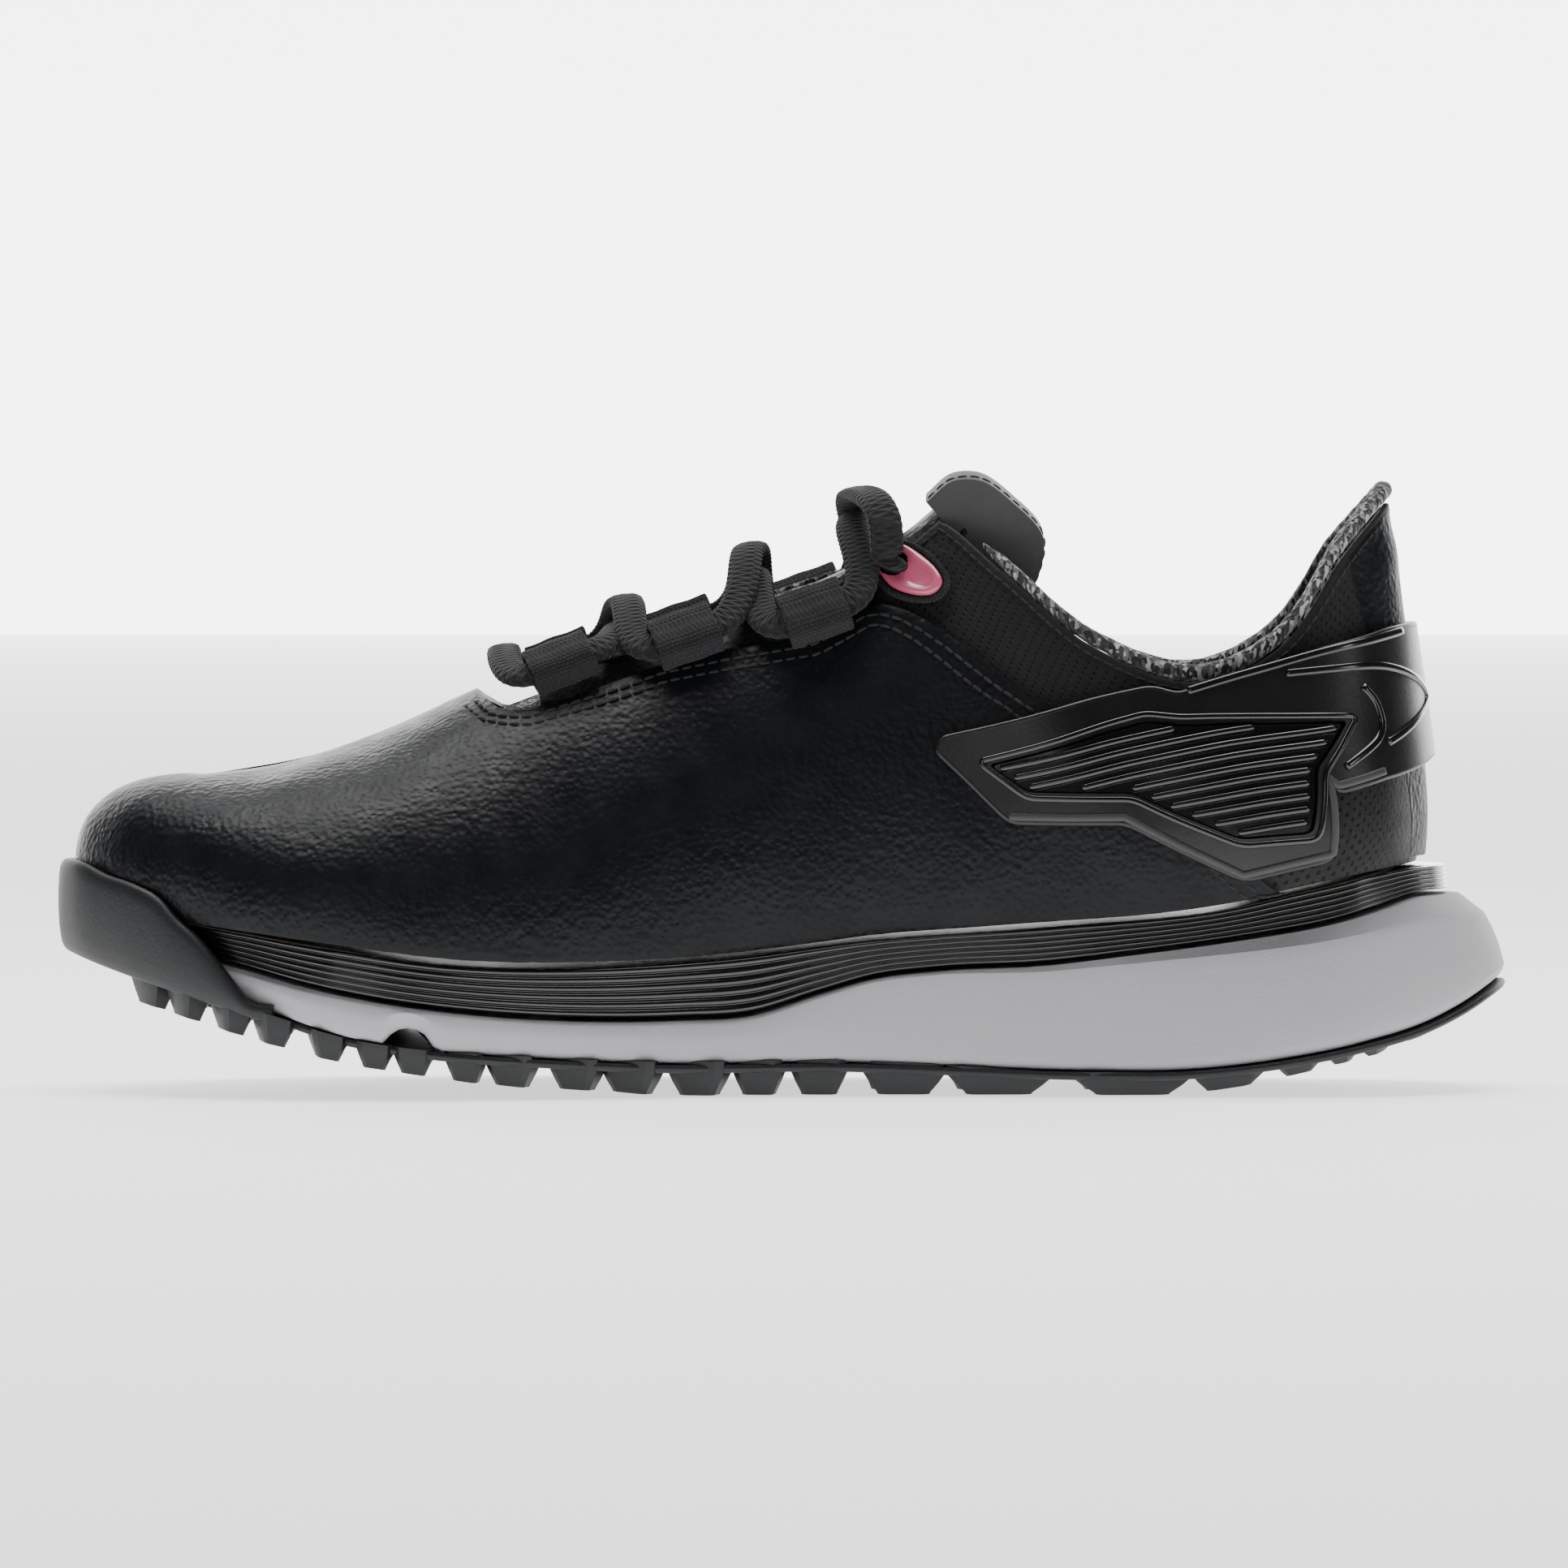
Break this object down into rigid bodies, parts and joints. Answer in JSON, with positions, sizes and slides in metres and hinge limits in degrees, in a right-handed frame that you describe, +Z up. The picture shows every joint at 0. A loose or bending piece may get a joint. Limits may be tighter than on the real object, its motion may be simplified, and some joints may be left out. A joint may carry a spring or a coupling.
{
  "type": "golf shoe",
  "caption": "Low-cut spikeless golf shoe for the right foot, laced through webbing loops, with a moulded heel cage and a two-tone midsole.",
  "frame": {"origin": "on the ground under the middle of the shoe's bounding box", "axes": "+X from toe to heel, +Y to the lateral side, +Z up"},
  "size_m": [0.2794, 0.0991, 0.1192],
  "materials": {
    "outsole_rubber": "matte moulded rubber",
    "midsole_grey": "fine-textured EVA foam",
    "midsole_black": "ribbed glossy moulded band",
    "shank": "stiff moulded plate",
    "board": "pressed fibre board",
    "sockliner_fabric": "fabric over foam",
    "leather": "full-grain leather, pebbled",
    "leather_perforated": "perforated smooth leather",
    "knit": "heather knit",
    "stiffener": "thermoformed stiffener sheet",
    "foam": "open-cell foam",
    "cage": "moulded TPU",
    "rib": "ribbed glossy TPU",
    "eyelet": "glossy moulded insert",
    "lace": "braided lace",
    "webbing": "ribbed webbing",
    "suede": "suede"
  },
  "bodies": {
    "shoe": {"backstay": "leather", "collar_binding": "knit", "collar_foam_lateral": "foam", "collar_foam_medial": "foam", "eyelet_lateral": "eyelet", "eyelet_medial": "eyelet", "heel_cage": "cage", "heel_counter": "stiffener", "lace": "lace", "lace_loop_lateral_1": "webbing", "lace_loop_lateral_2": "webbing", "lace_loop_lateral_3": "webbing", "lace_loop_medial_1": "webbing", "lace_loop_medial_2": "webbing", "lace_loop_medial_3": "webbing", "lasting_board": "board", "lining": "knit", "midsole_lower": "midsole_grey", "midsole_upper": "midsole_black", "outsole": "outsole_rubber", "quarter_lateral": "leather_perforated", "quarter_medial": "leather_perforated", "rib_insert_lateral": "rib", "rib_insert_medial": "rib", "shank_plate": "shank", "sockliner": "sockliner_fabric", "toe_puff": "stiffener", "vamp": "leather"},
    "tongue": {"tongue_outer": "leather", "tongue_foam": "foam", "tongue_lining": "knit", "tongue_tab": "suede"}
  },
  "joints": [
    {"name": "tongue_fold", "type": "hinge", "parent": "shoe", "child": "tongue", "pos_m": [-0.056, 0, 0.067], "axis": [0, 1, 0], "range_deg": [0, 8]}
  ]
}
